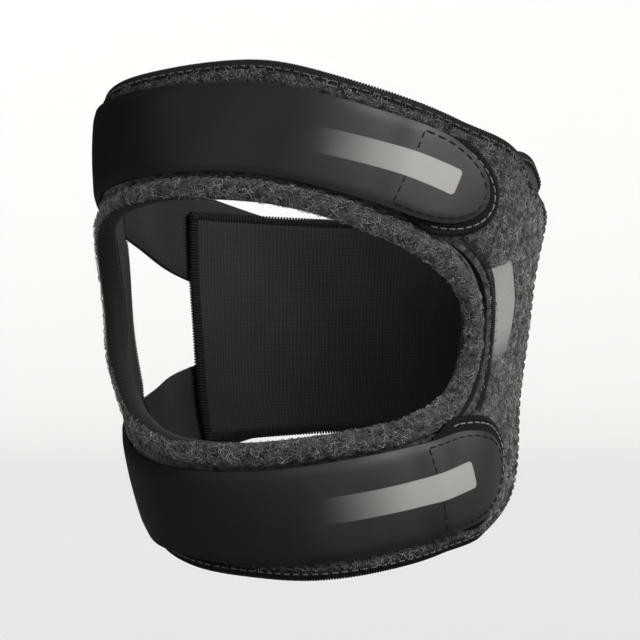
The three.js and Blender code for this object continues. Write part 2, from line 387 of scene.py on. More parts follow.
def at_places(points, places):
    """Points of a line at distances along it."""
    known = distances(points)
    return np.stack([np.interp(places, known, points[:, k]) for k in range(points.shape[1])], axis=-1)


def looped(points):
    """A closed outline with its first point again at its end."""
    return np.concatenate([points, points[:1]])


def outline(rows, count):
    """Closed outline of a table's corners as evenly spaced points."""
    curve = spline(flat_points(rows), closed=True)
    return at_places(curve, distances(curve)[-1] * np.arange(count) / count)


def out_of(run):
    """Directions out of a clockwise outline, from the directions along it."""
    return np.stack([-run[..., 1], run[..., 0]], axis=-1)


def outward(points):
    """Direction out of a closed clockwise outline at each of its points."""
    return out_of(unit(np.roll(points, -1, axis=0) - np.roll(points, 1, axis=0)))


def beside_groove(flat):
    """1 to the right of the window, where its seam has a groove, easing to 0 round the corners."""
    return smooth_step(flat[..., 0] / MM_PER_DEGREE, GROOVE_FROM, GROOVE_TO)


# Outlines on the flat sheet: the window, the panel's hole round the rim, and the panel's cut edge
centre = flat_points([WINDOW_CENTRE])[0]
window_edge = outline(WINDOW, OUTLINE_POINTS)
window_out = outward(window_edge)
groove = beside_groove(window_edge)
hole_edge = window_edge + window_out * (RIM_DIAMETER + RIM_CLEARANCE + GROOVE_WIDTH * groove)[:, None]
panel_cut = outline(PANEL_EDGE, OUTLINE_POINTS)


def reach_of(points, flat):
    """Distance from the window's centre to an outline, in the direction of each flat point."""
    spokes = points - centre
    bearings = np.arctan2(spokes[:, 1], spokes[:, 0])
    towards = np.arctan2(flat[..., 1] - centre[1], flat[..., 0] - centre[0])
    return np.interp(towards, bearings, np.linalg.norm(spokes, axis=1), period=2 * math.pi)


class Strap:
    """A strap's middle line on the flat sheet, from its sewn end to its tip."""

    def __init__(self, rows, tab):
        corners = np.concatenate([flat_points(rows), column(rows, "width")[:, None]], axis=1)
        curve = spline(corners, closed=False)
        self.line = at_places(curve, np.linspace(0, distances(curve)[-1], COURSE_POINTS))
        self.places = distances(self.line)
        self.run = unit(np.gradient(self.line[:, :2], axis=0))
        self.length = self.places[-1]
        self.shoulder = self.length - TIP_LENGTH
        self.tab = tab
        self.tab_start = self.length - tab.length

    def half_width(self, along):
        """Half the strap's width at a distance along it."""
        return np.interp(along, self.places, self.line[:, 2]) / 2

    def flat(self, along, reach):
        """Flat points at a distance along the strap and a reach above its middle line."""
        middle = [np.interp(along, self.places, self.line[:, k]) for k in range(2)]
        run = [np.interp(along, self.places, self.run[:, k]) for k in range(2)]
        past = np.maximum(along - self.length, 0)
        x = middle[0] + run[0] * past - run[1] * reach
        y = middle[1] + run[1] * past + run[0] * reach
        return np.stack([x, y], axis=-1)

    def along_at(self, turn):
        """Distance along the strap where it passes a turn."""
        return float(np.interp(turn * MM_PER_DEGREE, self.line[:, 0], self.places))

    def gap(self, flat, flange):
        """How far flat points lie outside the edge of the strap and a flange, negative under them."""
        away = flat[:, None, :] - self.line[None, :, :2]
        nearest = np.argmin((away**2).sum(axis=-1), axis=1)
        offset = away[np.arange(len(flat)), nearest]
        run = self.run[nearest]
        along = self.places[nearest] + (offset * run).sum(axis=1)
        across = offset[:, 1] * run[:, 0] - offset[:, 0] * run[:, 1]
        grown = smooth_step(along - self.tab_start, 0, TAB_TAPER)
        half = self.half_width(along) + np.where(across > 0, flange.upper, flange.lower) * grown
        past = np.maximum(along - self.shoulder, 0) / (TIP_LENGTH + flange.end)
        return (np.hypot(past, across / half) - 1) * half

    def under_lift(self, flat, along):
        """Lift of the strap's under side: what lies below it, and its hook tab near the tip."""
        on_tab = smooth_step(along, self.tab_start - TAB_APPROACH, self.tab_start - TAB_MARGIN)
        return tab_lift(flat) + on_tab * (TAB_THICKNESS + CLEARANCE)


def tab_lift(flat):
    """Lift of a tab's under side."""
    return steps_through(UNDER_STRAP, "turn", flat[..., 0] / MM_PER_DEGREE, "lift") + CLEARANCE


top_line = Strap(TOP_COURSE, TOP_TAB)
bottom_line = Strap(BOTTOM_COURSE, BOTTOM_TAB)


# Materials


def linear(colour):
    """Linear colour of an sRGB hex value."""
    channels = [int(colour[i : i + 2], 16) / 255 for i in (1, 3, 5)]
    return [*(c / 12.92 if c <= 0.04045 else ((c + 0.055) / 1.055) ** 2.4 for c in channels), 1.0]


def per_metre(size):
    """Texture scale that gives features of a size in millimetres."""
    return 1 / (size * MM)


def add_node(tree, kind, inputs, **settings):
    """Adds a shader node with its settings, and fills or links its inputs."""
    made = tree.nodes.new("ShaderNode" + kind)
    for name, value in settings.items():
        setattr(made, name, value)
    for key, value in inputs.items():
        if isinstance(value, bpy.types.NodeSocket):
            tree.links.new(value, made.inputs[key])
        else:
            made.inputs[key].default_value = value
    return made


def new_material(name, sockets):
    """A material with constant values on its shader's own sockets."""
    material = bpy.data.materials.new(name)
    material.use_nodes = True
    shader = material.node_tree.nodes["Principled BSDF"]
    for key, value in sockets.items():
        shader.inputs[key].default_value = value
    return material, material.node_tree, shader


# Places of a Mix node's sockets when it mixes colours
MIX_FACTOR = 0
MIX_A = 6
MIX_B = 7
MIX_RESULT = 2

# Printed stripes: where the sharp end lies, its tilt in degrees, and its sizes and bow, in millimetres
Stripe = namedtuple("Stripe", "x y tilt length width fade bow")
STRIPE_CORNER = 1.2
STRIPE_BLUR = 0.12
TOP_STRIPE = Stripe(top_line.along_at(51.3), 1.2, 2, 41, 7.4, 30, 0)
BOTTOM_STRIPE = Stripe(bottom_line.along_at(61), 0.6, 0, 50, 7.4, 34, 0)
SIDE_STRIPE = Stripe(74.2 * MM_PER_DEGREE, 19.4, 104, 34, 14, 15, 6.6)


def stripe_share(tree, uv, stripe):
    """How much of a printed stripe covers a place: 1 in it, with a sharp round end and a fading one."""
    corner = STRIPE_CORNER * MM
    blur = STRIPE_BLUR * MM
    half = stripe.width / 2 * MM
    turned = {"Location": (stripe.x * MM, stripe.y * MM, 0), "Rotation": (0, 0, math.radians(stripe.tilt))}
    place = add_node(tree, "Mapping", {"Vector": uv, **turned}, vector_type="TEXTURE")
    axes = add_node(tree, "SeparateXYZ", {0: place.outputs[0]})
    beyond = add_node(tree, "Math", {0: axes.outputs["X"], 1: corner}, operation="ADD")
    past_end = add_node(tree, "Math", {0: beyond.outputs[0], 1: 0}, operation="MAXIMUM")
    left = {0: axes.outputs["X"], 1: 1 / (stripe.length * MM), 2: 1}
    left_share = add_node(tree, "Math", left, operation="MULTIPLY_ADD")
    arc = add_node(tree, "Math", {0: axes.outputs["X"], 1: left_share.outputs[0]}, operation="MULTIPLY")
    bent = {0: arc.outputs[0], 1: -4 * stripe.bow / stripe.length, 2: axes.outputs["Y"]}
    straightened = add_node(tree, "Math", bent, operation="MULTIPLY_ADD")
    aside = add_node(tree, "Math", {0: straightened.outputs[0]}, operation="ABSOLUTE")
    over = add_node(tree, "Math", {0: aside.outputs[0], 1: half - corner}, operation="SUBTRACT")
    past_side = add_node(tree, "Math", {0: over.outputs[0], 1: 0}, operation="MAXIMUM")
    gap = add_node(tree, "CombineXYZ", {"X": past_end.outputs[0], "Y": past_side.outputs[0]})
    distance = add_node(tree, "VectorMath", {0: gap.outputs[0]}, operation="LENGTH")
    edges = {"From Min": corner - blur, "From Max": corner + blur, "To Min": 1.0, "To Max": 0.0}
    inside = add_node(
        tree, "MapRange", {"Value": distance.outputs["Value"], **edges}, interpolation_type="SMOOTHSTEP"
    )
    ends = {"From Min": -stripe.length * MM, "From Max": (stripe.fade - stripe.length) * MM}
    fade = add_node(tree, "MapRange", {"Value": axes.outputs["X"], **ends}, interpolation_type="SMOOTHSTEP")
    both = add_node(tree, "Math", {0: inside.outputs[0], 1: fade.outputs[0]}, operation="MULTIPLY")
    return both.outputs[0]


def stripe_cover(flat, stripe):
    """The same share at flat points, for what stands on the cloth."""
    tilt = math.radians(stripe.tilt)
    away = flat - np.array([stripe.x, stripe.y])
    x = away[:, 0] * math.cos(tilt) + away[:, 1] * math.sin(tilt)
    y = away[:, 1] * math.cos(tilt) - away[:, 0] * math.sin(tilt)
    straightened = y - 4 * stripe.bow / stripe.length * x * (1 + x / stripe.length)
    inside = (x < 0) & (np.abs(straightened) < stripe.width / 2)
    return inside * smooth_step(x, -stripe.length, stripe.fade - stripe.length)


# Sizes of the materials' patterns, in millimetres
LOOP_SIZE = 0.7
CLOUD_SIZE = 9
GRAIN_SIZE = 0.6
CELL_SIZE = 0.5
TWIST_SIZE = 0.8
WEAVE_PITCH = 0.8


def brushed_loop(name, stripe=None):
    """Nylon loop cloth, brushed: matt charcoal, mottled where its loops clump, soft in slanting light."""
    sockets = {"Roughness": 0.95, "Specular IOR Level": 0.2, "Sheen Weight": 0.15, "Sheen Roughness": 0.5}
    material, tree, shader = new_material(name, sockets)
    uv = add_node(tree, "UVMap", {}, uv_map=UV_NAME).outputs["UV"]
    clumps = add_node(tree, "TexNoise", {"Vector": uv, "Scale": per_metre(CLUMP_SIZE), "Detail": 3.0})
    spread = {"Value": clumps.outputs["Fac"], "From Min": 0.35, "From Max": 0.65}
    fleck = add_node(tree, "MapRange", spread)
    tones = {MIX_A: linear("#0e0f10"), MIX_B: linear("#4a4b4b")}
    tone = add_node(tree, "Mix", {MIX_FACTOR: fleck.outputs[0], **tones}, data_type="RGBA")
    colour = tone.outputs[MIX_RESULT]
    if stripe:
        tones = {MIX_A: colour, MIX_B: linear("#8a8884")}
        share = stripe_share(tree, uv, stripe)
        printed = add_node(tree, "Mix", {MIX_FACTOR: share, **tones}, data_type="RGBA")
        colour = printed.outputs[MIX_RESULT]
    tree.links.new(colour, shader.inputs["Base Color"])
    loops = add_node(tree, "TexNoise", {"Vector": uv, "Scale": per_metre(LOOP_SIZE), "Detail": 2.0})
    bump = add_node(tree, "Bump", {"Height": loops.outputs["Fac"], "Strength": 0.8, "Distance": 0.4 * MM})
    tree.links.new(bump.outputs["Normal"], shader.inputs["Normal"])
    return material


def loop_yarn():
    """Nylon loop yarn: fine curls, some dark and some catching the light, the flecks of the cloth."""
    sockets = {"Roughness": 0.7, "Specular IOR Level": 0.35, "Sheen Weight": 0.2, "Sheen Roughness": 0.4}
    material, tree, shader = new_material("nylon loop yarn", sockets)
    shade = add_node(tree, "Attribute", {}, attribute_name="shade")
    tones = {MIX_A: linear("#0b0c0d"), MIX_B: linear("#a0a1a0")}
    yarn = add_node(tree, "Mix", {MIX_FACTOR: shade.outputs["Fac"], **tones}, data_type="RGBA")
    tree.links.new(yarn.outputs[MIX_RESULT], shader.inputs["Base Color"])
    return material


# The jersey's knit is finer than a pixel, so its wales and courses are drawn this coarse, in millimetres
WALE_PITCH = 1.1
COURSE_PITCH = 0.9


def jersey_knit():
    """Nylon jersey on neoprene: columns of small V stitches, black with a faint bloom in the light."""
    sockets = {"Roughness": 0.8, "Specular IOR Level": 0.25, "Sheen Weight": 0.06, "Sheen Roughness": 0.4}
    material, tree, shader = new_material("nylon jersey knit", sockets)
    uv = add_node(tree, "UVMap", {}, uv_map=UV_NAME).outputs["UV"]
    scale = (per_metre(WALE_PITCH), per_metre(COURSE_PITCH), 1)
    stitches = add_node(tree, "VectorMath", {0: uv, 1: scale}, operation="MULTIPLY")
    axes = add_node(tree, "SeparateXYZ", {0: stitches.outputs[0]})
    leg = add_node(tree, "Math", {0: axes.outputs["X"], 1: 0.5}, operation="PINGPONG")
    chevron = add_node(tree, "Math", {0: axes.outputs["Y"], 1: leg.outputs[0]}, operation="ADD")
    loop = add_node(tree, "Math", {0: chevron.outputs[0], 1: 0.5}, operation="PINGPONG")
    knit = add_node(tree, "Math", {0: loop.outputs[0], 1: leg.outputs[0]}, operation="MULTIPLY")
    lit = add_node(tree, "MapRange", {"Value": knit.outputs[0], "From Max": 0.25})
    tones = {MIX_A: linear("#0c0d0e"), MIX_B: linear("#27282a")}
    tone = add_node(tree, "Mix", {MIX_FACTOR: lit.outputs[0], **tones}, data_type="RGBA")
    tree.links.new(tone.outputs[MIX_RESULT], shader.inputs["Base Color"])
    bump = add_node(tree, "Bump", {"Height": knit.outputs[0], "Strength": 0.7, "Distance": 0.5 * MM})
    tree.links.new(bump.outputs["Normal"], shader.inputs["Normal"])
    return material


def coated_cloth(name, stripe):
    """Coated stretch cloth: smooth and near black, with a satin gloss, a fine grain and a pale stripe."""
    material, tree, shader = new_material(name, {"Specular IOR Level": 0.35})
    uv = add_node(tree, "UVMap", {}, uv_map=UV_NAME).outputs["UV"]
    cloud = add_node(tree, "TexNoise", {"Vector": uv, "Scale": per_metre(CLOUD_SIZE), "Detail": 3.0})
    tones = {MIX_A: linear("#0b0c0d"), MIX_B: linear("#141516")}
    tone = add_node(tree, "Mix", {MIX_FACTOR: cloud.outputs["Fac"], **tones}, data_type="RGBA")
    share = stripe_share(tree, uv, stripe)
    tones = {MIX_A: tone.outputs[MIX_RESULT], MIX_B: linear("#8e8c88")}
    printed = add_node(tree, "Mix", {MIX_FACTOR: share, **tones}, data_type="RGBA")
    tree.links.new(printed.outputs[MIX_RESULT], shader.inputs["Base Color"])
    gloss = add_node(tree, "MapRange", {"Value": cloud.outputs["Fac"], "To Min": 0.4, "To Max": 0.54})
    tree.links.new(gloss.outputs[0], shader.inputs["Roughness"])
    grain = add_node(tree, "TexNoise", {"Vector": uv, "Scale": per_metre(GRAIN_SIZE), "Detail": 2.0})
    bump = add_node(tree, "Bump", {"Height": grain.outputs["Fac"], "Strength": 0.2, "Distance": 0.1 * MM})
    tree.links.new(bump.outputs["Normal"], shader.inputs["Normal"])
    return material


def cut_sponge():
    """Cut neoprene sponge: dull black with fine open cells."""
    sockets = {"Roughness": 0.9, "Specular IOR Level": 0.3}
    material, tree, shader = new_material("cut neoprene sponge", sockets)
    place = add_node(tree, "TexCoord", {}).outputs["Object"]
    cells = add_node(tree, "TexVoronoi", {"Vector": place, "Scale": per_metre(CELL_SIZE)})
    tones = {MIX_A: linear("#0c0d0e"), MIX_B: linear("#222324")}
    tone = add_node(tree, "Mix", {MIX_FACTOR: cells.outputs["Distance"], **tones}, data_type="RGBA")
    tree.links.new(tone.outputs[MIX_RESULT], shader.inputs["Base Color"])
    return material


def sewing_thread(name, dark, light):
    """Spun polyester thread: nearly matt, lighter where the twist turns up."""
    material, tree, shader = new_material(name, {"Roughness": 0.75, "Specular IOR Level": 0.15})
    place = add_node(tree, "TexCoord", {}).outputs["Object"]
    twist = add_node(tree, "TexNoise", {"Vector": place, "Scale": per_metre(TWIST_SIZE), "Detail": 1.0})
    tones = {MIX_A: linear(dark), MIX_B: linear(light)}
    tone = add_node(tree, "Mix", {MIX_FACTOR: twist.outputs["Fac"], **tones}, data_type="RGBA")
    tree.links.new(tone.outputs[MIX_RESULT], shader.inputs["Base Color"])
    return material


def woven_tape_painted_shade():
    """Woven nylon hook tape: matt black, partly painted shade, with the rows of its weave along the strap.
    """
    sockets = {"Roughness": 0.85, "Specular IOR Level": 0.12}
    material, tree, shader = new_material("woven nylon hook tape", sockets)
    uv = add_node(tree, "UVMap", {}, uv_map=UV_NAME).outputs["UV"]
    scale = (per_metre(WEAVE_PITCH), per_metre(WEAVE_PITCH), 1)
    threads_at = add_node(tree, "VectorMath", {0: uv, 1: scale}, operation="MULTIPLY")
    rows = add_node(tree, "TexChecker", {"Vector": threads_at.outputs[0], "Scale": 1.0})
    # Near-black tones: the tape's own dark colour, made darker as painted shade under the strap's tip edge
    tones = {MIX_A: linear("#060607"), MIX_B: linear("#131415")}
    tone = add_node(tree, "Mix", {MIX_FACTOR: rows.outputs["Fac"], **tones}, data_type="RGBA")
    tree.links.new(tone.outputs[MIX_RESULT], shader.inputs["Base Color"])
    bump = add_node(tree, "Bump", {"Height": rows.outputs["Fac"], "Strength": 0.5, "Distance": 0.2 * MM})
    tree.links.new(bump.outputs["Normal"], shader.inputs["Normal"])
    return material


jersey = jersey_knit()
sponge = cut_sponge()
pile_yarn = loop_yarn()
tape = woven_tape_painted_shade()
black_thread = sewing_thread("black polyester thread", "#060607", "#1b1c1e")
grey_thread = sewing_thread("grey polyester thread", "#3c3d3f", "#939496")
charcoal_thread = sewing_thread("charcoal polyester thread", "#26272a", "#66676a")


# Making of sheets, threads and pile


def add_piece(name, mesh, materials):
    """A finished piece of the object, riding on its one body."""
    for material in materials:
        mesh.materials.append(material)
    piece = bpy.data.objects.new(name, mesh)
    bpy.context.scene.collection.objects.link(piece)
    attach(piece, BODY)
    return piece


def to_mesh(name, sheet):
    """Ends a bmesh as a mesh."""
    mesh = bpy.data.meshes.new(name)
    sheet.to_mesh(mesh)
    sheet.free()
    return mesh


def face_outwards(sheet):
    """Turns an open sheet's faces away from the form."""
    sheet.normal_update()
    level = Vector((1, 1, 0))
    facing = sum(face.normal.dot(face.calc_center_median() * level) for face in sheet.faces)
    if facing < 0:
        bmesh.ops.reverse_faces(sheet, faces=sheet.faces)


def wrapped_grid(columns, rows, place, closed=False):
    """Sheet on a grid. place turns grid places to flat points, lifts, UVs in metres and wall shares."""
    sheet = bmesh.new()
    bmesh.ops.create_grid(sheet, x_segments=columns, y_segments=rows, size=0.5)
    corners = np.array([vert.co for vert in sheet.verts])
    flat, lift, uv, wall = place(corners[:, 0] + 0.5, corners[:, 1] + 0.5)
    weights = sheet.verts.layers.deform.verify()
    for vert, point, share in zip(sheet.verts, wrap(flat, lift), wall):
        vert.co = point
        vert[weights][0] = share
    layer = sheet.loops.layers.uv.new(UV_NAME)
    for face in sheet.faces:
        face.smooth = True
        for loop in face.loops:
            loop[layer].uv = uv[loop.vert.index]
    if closed:
        bmesh.ops.remove_doubles(sheet, verts=sheet.verts, dist=MERGE_DISTANCE)
    face_outwards(sheet)
    return sheet


def walled_piece(name, sheet, materials, thickness):
    """A sheet with a wall and round edges. Its lining and its cut edge take the next two materials."""
    piece = add_piece(name, to_mesh(name, sheet), materials)
    piece.vertex_groups.new(name=WALL_GROUP)
    wall = piece.modifiers.new("wall", "SOLIDIFY")
    wall.thickness = thickness * MM
    wall.offset = 0
    wall.use_quality_normals = True
    wall.vertex_group = WALL_GROUP
    wall.material_offset = 1
    wall.material_offset_rim = 2
    rounding = piece.modifiers.new("rounding", "SUBSURF")
    rounding.levels = 1
    rounding.render_levels = 1
    return piece


def edge_spacing(share):
    """Shares from 0 to 1 moved closer together at both ends."""
    return (1 - np.cos(math.pi * share)) / 2


def wall_share(edge_distance):
    """Thickness of a sheet near its sewn edge, as a share of its full thickness."""
    return CRIMP_SHARE + (1 - CRIMP_SHARE) * smooth_step(edge_distance, 0, CRIMP_WIDTH)


def thread_mesh(name, groups, radius, sides):
    """Threads closed to a point at both ends. A group is paths[thread][point] and a direction across."""
    verts = []
    faces = []
    first = 0
    angles = 2 * math.pi * np.arange(sides) / sides
    for paths, across in groups:
        run = unit(np.gradient(paths, axis=1))
        over = unit(np.cross(run, np.broadcast_to(across, paths.shape)))
        aside = np.cross(run, over)
        swing = np.cos(angles)[:, None] * over[:, 1:-1, None]
        swing = swing + np.sin(angles)[:, None] * aside[:, 1:-1, None]
        rings = paths[:, 1:-1, None] + radius * MM * swing
        count, points = paths.shape[:2]
        inner = points - 2
        body = rings.reshape(count, inner * sides, 3)
        verts.append(np.concatenate([paths[:, :1], body, paths[:, -1:]], axis=1).reshape(-1, 3))
        last = 1 + inner * sides
        pattern = []
        for s in range(sides):
            after = (s + 1) % sides
            pattern.append((0, 1 + after, 1 + s))
            pattern.append((last, last - sides + s, last - sides + after))
            for r in range(inner - 1):
                low = 1 + r * sides
                high = low + sides
                pattern.append((low + s, low + after, high + after, high + s))
        for thread in range(count):
            start = first + thread * (last + 1)
            faces.extend(tuple(start + corner for corner in face) for face in pattern)
        first += count * (last + 1)
    mesh = bpy.data.meshes.new(name)
    mesh.from_pydata(np.concatenate(verts), [], faces)
    mesh.polygons.foreach_set("use_smooth", np.ones(len(faces), bool))
    return mesh


def panel_rise(flat):
    """How far the panel has risen onto the band."""
    return BAND_LIFT * smooth_step(flat[:, 0] / MM_PER_DEGREE, PANEL_RISE_FROM, PANEL_RISE_TO)


def panel_middle(flat):
    """Lift of the middle of the panel's wall, which puffs up beside the straps and dips at the seams."""
    gap = np.minimum(top_line.gap(flat, NO_FLANGE), bottom_line.gap(flat, NO_FLANGE))
    puff = PUFF_HEIGHT * np.exp(-(((gap - PUFF_PLACE) / PUFF_WIDTH) ** 2))
    from_hole = np.linalg.norm(flat - centre, axis=1) - reach_of(hole_edge, flat)
    dip = SEAM_DIP * (1 - smooth_step(from_hole, 0, SEAM_WIDTH))
    furrow = FURROW_DEPTH * np.exp(-(((from_hole - FURROW_PLACE) / FURROW_WIDTH) ** 2))
    return panel_rise(flat) + PANEL_THICKNESS / 2 + puff - dip - furrow * beside_groove(flat)


def band_middle(flat):
    """Lift of the middle of the band's wall."""
    return np.full(len(flat), BAND_THICKNESS / 2)


def tab_middle(flat):
    """Lift of the middle of a tab's wall."""
    return tab_lift(flat) + TAB_THICKNESS / 2


def strap_middle(strap, along, reach):
    """Flat points on a strap and the lift of the middle of its wall there."""
    flat = strap.flat(along, reach)
    crown = STRAP_CROWN * (1 - np.clip(reach / strap.half_width(along), -1, 1) ** 2)
    return flat, strap.under_lift(flat, along) + STRAP_THICKNESS / 2 + crown


# Sheets and the padded rim


def front_panel():
    """Loop-faced sheet that holds the rim and reaches round the right side."""
    hole_line = looped(hole_edge)
    length = distances(hole_line)[-1]

    def place(u, v):
        hole = at_places(hole_line, u * length)
        cut = centre + unit(hole - centre) * reach_of(panel_cut, hole)[:, None]
        share = edge_spacing(v)
        flat = hole + (cut - hole) * share[:, None]
        border = np.linalg.norm(cut - hole, axis=1)
        wall = wall_share(np.minimum(share, 1 - share) * border)
        return flat, panel_middle(flat), flat * MM, wall

    sheet = wrapped_grid(PANEL_COLUMNS, PANEL_ROWS, place, closed=True)
    materials = [brushed_loop("brushed nylon loop, panel", SIDE_STRIPE), jersey, sponge]
    piece = walled_piece("loop_panel", sheet, materials, PANEL_THICKNESS)
    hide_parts("front_panel")
    return piece


# Where the rim's loop cloth starts and ends round its section, from the window's edge over the top, and
# the turns over which its start moves up on the left and down on the right. Below the cloth lies black
# jersey, which reaches higher on the left as painted shade for the rim's unlit inner side
RIM_CLOTH_LOW = math.radians(10)
RIM_CLOTH_ABOVE_SHADE = math.radians(62)
RIM_CLOTH_RIGHT = math.radians(-20)
RIM_CLOTH_TO = math.radians(200)
RIM_SHADE_LEFT_FROM = 20
RIM_SHADE_LEFT_TO = -55
RIM_RIGHT_FROM = 20
RIM_RIGHT_TO = 55
RIM_SEAM = math.radians(150)
RIM_SEAM_SPREAD = math.radians(40)
rim_length = distances(looped(window_edge))[-1]
rim_cloth = brushed_loop("brushed nylon loop, rim")


def round_window(u, values):
    """Values known at the outline's points, u of the way round the window."""
    known = np.linspace(0, 1, OUTLINE_POINTS + 1)
    ring = looped(values)
    return np.stack([np.interp(u, known, ring[:, k]) for k in range(ring.shape[1])], axis=-1)


def off_window(u, reach):
    """Flat points at a reach out from the window's edge, u of the way round it."""
    return round_window(u, window_edge) + round_window(u, window_out) * reach[:, None]


def groove_at(u):
    """Share of the groove, u of the way round the window."""
    return round_window(u, groove[:, None])[:, 0]


def cloth_from(u):
    """Start of the rim's loop cloth round its section: low, but high at the window's left end (painted
    shade).
    """
    turn = round_window(u, window_edge)[:, 0] / MM_PER_DEGREE
    # The black jersey lining shows higher on the left: partly real lining, partly painted shade of the
    # unlit inner side
    rise = (RIM_CLOTH_ABOVE_SHADE - RIM_CLOTH_LOW) * smooth_step(-turn, -RIM_SHADE_LEFT_FROM, -RIM_SHADE_LEFT_TO)
    drop = (RIM_CLOTH_LOW - RIM_CLOTH_RIGHT) * smooth_step(turn, RIM_RIGHT_FROM, RIM_RIGHT_TO)
    return RIM_CLOTH_LOW + rise - drop


def rim_surface(u, angle):
    """Flat points and lifts on the rim, u of the way round it and at an angle round its section."""
    pucker = PUCKER_DEPTH * np.sin(2 * math.pi * u * round(rim_length / PUCKER_PITCH))
    radius = RIM_RADIUS - RIM_TRIM + pucker * np.exp(-(((angle - RIM_SEAM) / RIM_SEAM_SPREAD) ** 2))
    return off_window(u, RIM_RADIUS - radius * np.cos(angle)), RIM_RADIUS + radius * np.sin(angle)


def padded_rim():
    """Padded tube round the window, loop cloth outside and jersey inside."""

    def place(u, v):
        angle = 2 * math.pi * v
        flat, lift = rim_surface(u, angle)
        uv = np.stack([u * rim_length, angle * RIM_RADIUS], axis=-1) * MM
        return flat, lift, uv, np.ones(len(u))

    sheet = wrapped_grid(RIM_COLUMNS, RIM_SIDES, place, closed=True)
    bmesh.ops.recalc_face_normals(sheet, faces=sheet.faces)
    layer = sheet.loops.layers.uv[UV_NAME]
    corners = np.array([[loop[layer].uv for loop in face.loops] for face in sheet.faces])
    middles = corners.mean(axis=1) / MM
    angles = np.mod(middles[:, 1] / RIM_RADIUS + math.pi / 2, 2 * math.pi) - math.pi / 2
    on_cloth = (angles > cloth_from(middles[:, 0] / rim_length)) & (angles < RIM_CLOTH_TO)
    for face, covered in zip(sheet.faces, on_cloth):
        face.material_index = 0 if covered else 1
    piece = add_piece("padded_rim", to_mesh("padded_rim", sheet), [rim_cloth, jersey])
    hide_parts("patella_rim")


def seam_fold():
    """Fold of the rim's cloth that is sewn to the panel, and stands free in the groove on the right."""

    def place(u, v):
        angle = 2 * math.pi * v
        free = groove_at(u)
        radius = FOLD_RADIUS - FOLD_THINNER * free
        reach = RIM_DIAMETER + FOLD_PLACE + FOLD_AWAY * free - radius * np.cos(angle)
        lift = FOLD_LIFT + FOLD_RISE * free + radius * np.sin(angle)
        uv = np.stack([u * rim_length, angle * FOLD_RADIUS], axis=-1) * MM
        return off_window(u, reach), lift, uv, np.ones(len(u))

    sheet = wrapped_grid(RIM_COLUMNS, FOLD_SIDES, place, closed=True)
    bmesh.ops.recalc_face_normals(sheet, faces=sheet.faces)
    return add_piece("seam_fold", to_mesh("seam_fold", sheet), [rim_cloth])


def seam_tape():
    """Jersey tape that covers the seam from inside."""

    def place(u, v):
        flat = off_window(u, TAPE_FROM + (TAPE_WIDTH + GROOVE_WIDTH * groove_at(u)) * v)
        lift = TAPE_LIFT + panel_rise(flat) * smooth_step(v, TAPE_RISE_FROM, TAPE_RISE_TO)
        return flat, lift, flat * MM, np.ones(len(u))

    sheet = wrapped_grid(RIM_COLUMNS, TAPE_ROWS, place, closed=True)
    return walled_piece("seam_tape", sheet, [jersey, jersey, jersey], TAPE_THICKNESS)


def back_band():
    """Jersey-faced band at the back."""
    first = BAND[0].turn
    last = BAND[-1].turn

    def place(u, v):
        turn = first + (last - first) * edge_spacing(u)
        bottom = curve_through(BAND, "turn", turn, "bottom")
        top = curve_through(BAND, "turn", turn, "top")
        share = edge_spacing(v)
        flat = np.stack([turn * MM_PER_DEGREE, bottom + (top - bottom) * share], axis=-1)
        to_edge = np.minimum(share, 1 - share) * (top - bottom)
        to_end = np.minimum(turn - first, last - turn) * MM_PER_DEGREE
        return flat, band_middle(flat), flat * MM, wall_share(np.minimum(to_edge, to_end))

    sheet = wrapped_grid(BAND_COLUMNS, BAND_ROWS, place)
    materials = [jersey, jersey, sponge]
    piece = walled_piece("jersey_band", sheet, materials, BAND_THICKNESS)
    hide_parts("back_band")
    return piece


def strip_places(strap, start, flange, columns, u, v):
    """Distance along, reach above the middle line and distance from the edge, on a round-tipped strip."""
    station = u * (columns + TIP_COLUMNS)
    straight = np.minimum(station / columns, 1)
    angle = np.maximum(station - columns, 0) / TIP_COLUMNS * TIP_SWEEP
    along = start + (strap.shoulder - start) * straight + (TIP_LENGTH + flange.end) * np.sin(angle)
    half = strap.half_width(along)
    grown = smooth_step(along - start, 0, TAB_TAPER)
    below = -(half + flange.lower * grown) * np.cos(angle)
    above = (half + flange.upper * grown) * np.cos(angle)
    reach = below + (above - below) * edge_spacing(v)
    return along, reach, np.minimum(reach - below, above - reach)


def coated_strap(strap, name, node, material):
    """Coated strap from the band to its rounded tip."""

    def place(u, v):
        along, reach, to_edge = strip_places(strap, 0, NO_FLANGE, STRAIGHT_COLUMNS, u, v)
        flat, lift = strap_middle(strap, along, reach)
        return flat, lift, np.stack([along, reach], axis=-1) * MM, wall_share(to_edge)

    sheet = wrapped_grid(STRAIGHT_COLUMNS + TIP_COLUMNS, STRAP_ROWS, place)
    materials = [material, jersey, material]
    piece = walled_piece(name, sheet, materials, STRAP_THICKNESS)
    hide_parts(node)
    return piece


def hook_tab(strap, name, node):
    """Hook tab under a strap's tip."""

    def place(u, v):
        along, reach, to_edge = strip_places(strap, strap.tab_start, strap.tab, TAB_COLUMNS, u, v)
        flat = strap.flat(along, reach)
        return flat, tab_middle(flat), np.stack([along, reach], axis=-1) * MM, wall_share(to_edge)

    sheet = wrapped_grid(TAB_COLUMNS + TIP_COLUMNS, STRAP_ROWS, place)
    piece = walled_piece(name, sheet, [tape, tape, tape], TAB_THICKNESS)
    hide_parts(node)
    return piece


panel = front_panel()
padded_rim()
fold = seam_fold()
seam_cover = seam_tape()
band = back_band()
top_cloth = coated_cloth("coated stretch cloth, top", TOP_STRIPE)
bottom_cloth = coated_cloth("coated stretch cloth, bottom", BOTTOM_STRIPE)
top_strap = coated_strap(top_line, "top_coated_strap", "top_strap", top_cloth)
bottom_strap = coated_strap(bottom_line, "bottom_coated_strap", "bottom_strap", bottom_cloth)
top_tab = hook_tab(top_line, "top_tape_tab", "top_hook_tab")
bottom_tab = hook_tab(bottom_line, "bottom_tape_tab", "bottom_hook_tab")


# Stitches

